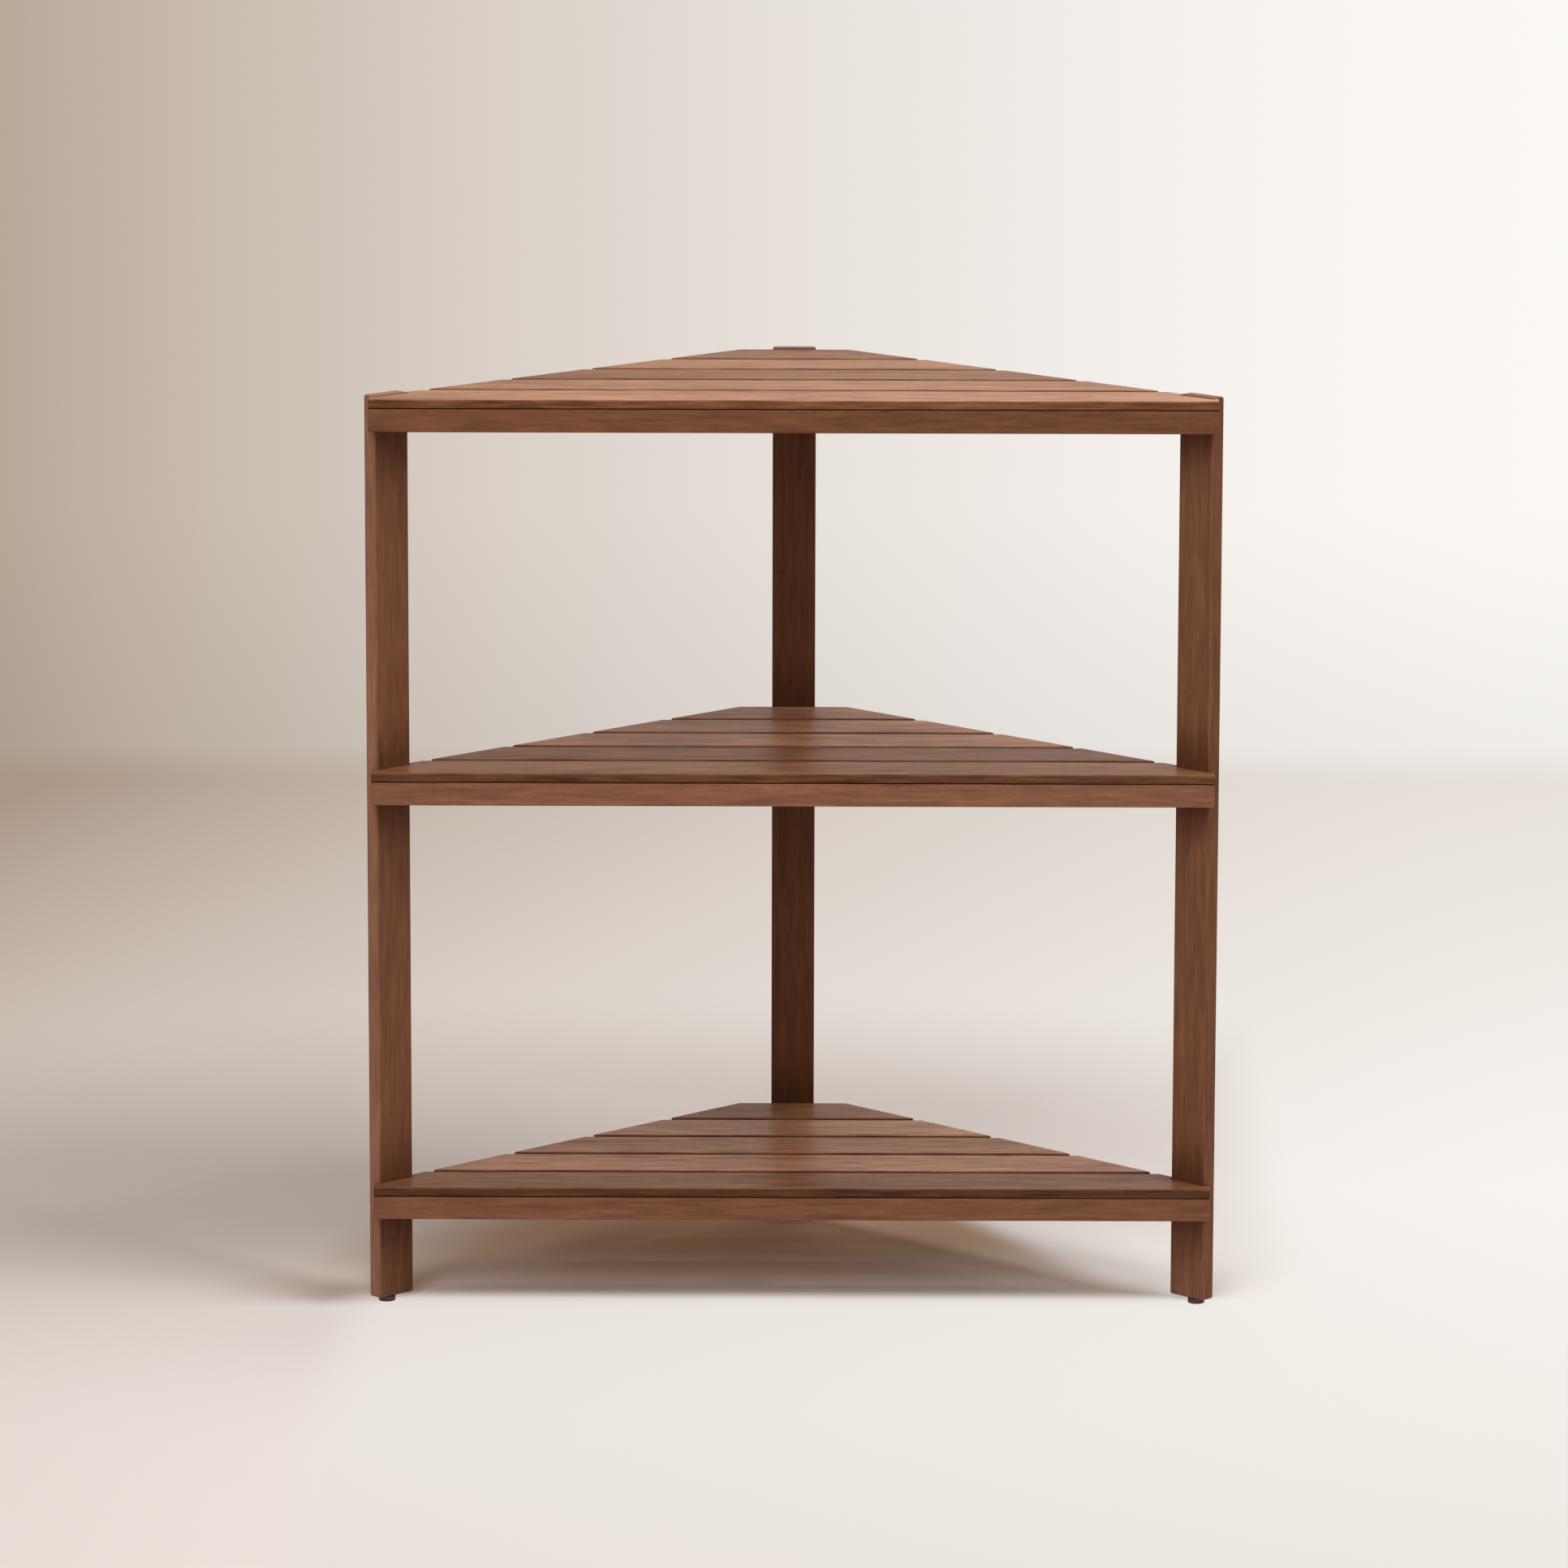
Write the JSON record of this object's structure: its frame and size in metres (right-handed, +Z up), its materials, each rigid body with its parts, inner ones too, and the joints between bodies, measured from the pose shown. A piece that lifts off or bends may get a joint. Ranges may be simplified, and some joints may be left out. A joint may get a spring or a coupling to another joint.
{
  "type": "tiered plant stand",
  "caption": "Three-tier triangular corner plant stand: slatted wooden shelves on two angled front legs and one back leg, bolted through, on nylon glides.",
  "frame": {"origin": "on the floor under the middle of the stand: centre of the bounding box, at its bottom", "axes": "+Z up; +X to the right seen from the front; the long open side of the shelves faces -Y and the corner leg is at +Y"},
  "size_m": [0.8, 0.3796, 0.869],
  "materials": {
    "leg_wood": "satin oiled hardwood, medium brown",
    "rail_wood": "satin oiled hardwood, medium brown",
    "slat_wood": "satin oiled hardwood, medium brown, fine straight grain",
    "frame_wood": "satin oiled hardwood, medium brown",
    "dowel_wood": "raw birch",
    "bolt_steel": "bronzed steel",
    "insert_brass": "plain brass",
    "glide_nylon": "dark brown nylon"
  },
  "bodies": {
    "root": {"leg_front_left": "leg_wood", "glide_front_left": "glide_nylon", "leg_front_right": "leg_wood", "glide_front_right": "glide_nylon", "leg_back": "leg_wood", "glide_back": "glide_nylon", "top_front_rail": "rail_wood", "top_back_block": "frame_wood", "top_centre_batten": "frame_wood", "top_slat_1": "slat_wood", "top_slat_2": "slat_wood", "top_slat_3": "slat_wood", "top_slat_4": "slat_wood", "top_slat_5": "slat_wood", "top_side_rail_left": "frame_wood", "top_dowel_left": "dowel_wood", "top_side_rail_right": "frame_wood", "top_dowel_right": "dowel_wood", "top_bolt_back": "bolt_steel", "top_insert_back": "insert_brass", "top_bolt_left": "bolt_steel", "top_insert_left": "insert_brass", "top_bolt_right": "bolt_steel", "top_insert_right": "insert_brass", "middle_front_rail": "rail_wood", "middle_back_block": "frame_wood", "middle_centre_batten": "frame_wood", "middle_slat_1": "slat_wood", "middle_slat_2": "slat_wood", "middle_slat_3": "slat_wood", "middle_slat_4": "slat_wood", "middle_slat_5": "slat_wood", "middle_side_rail_left": "frame_wood", "middle_dowel_left": "dowel_wood", "middle_side_rail_right": "frame_wood", "middle_dowel_right": "dowel_wood", "middle_bolt_back": "bolt_steel", "middle_insert_back": "insert_brass", "middle_bolt_left": "bolt_steel", "middle_insert_left": "insert_brass", "middle_bolt_right": "bolt_steel", "middle_insert_right": "insert_brass", "bottom_front_rail": "rail_wood", "bottom_back_block": "frame_wood", "bottom_centre_batten": "frame_wood", "bottom_slat_1": "slat_wood", "bottom_slat_2": "slat_wood", "bottom_slat_3": "slat_wood", "bottom_slat_4": "slat_wood", "bottom_slat_5": "slat_wood", "bottom_side_rail_left": "frame_wood", "bottom_dowel_left": "dowel_wood", "bottom_side_rail_right": "frame_wood", "bottom_dowel_right": "dowel_wood", "bottom_bolt_back": "bolt_steel", "bottom_insert_back": "insert_brass", "bottom_bolt_left": "bolt_steel", "bottom_insert_left": "insert_brass", "bottom_bolt_right": "bolt_steel", "bottom_insert_right": "insert_brass"}
  },
  "joints": []
}
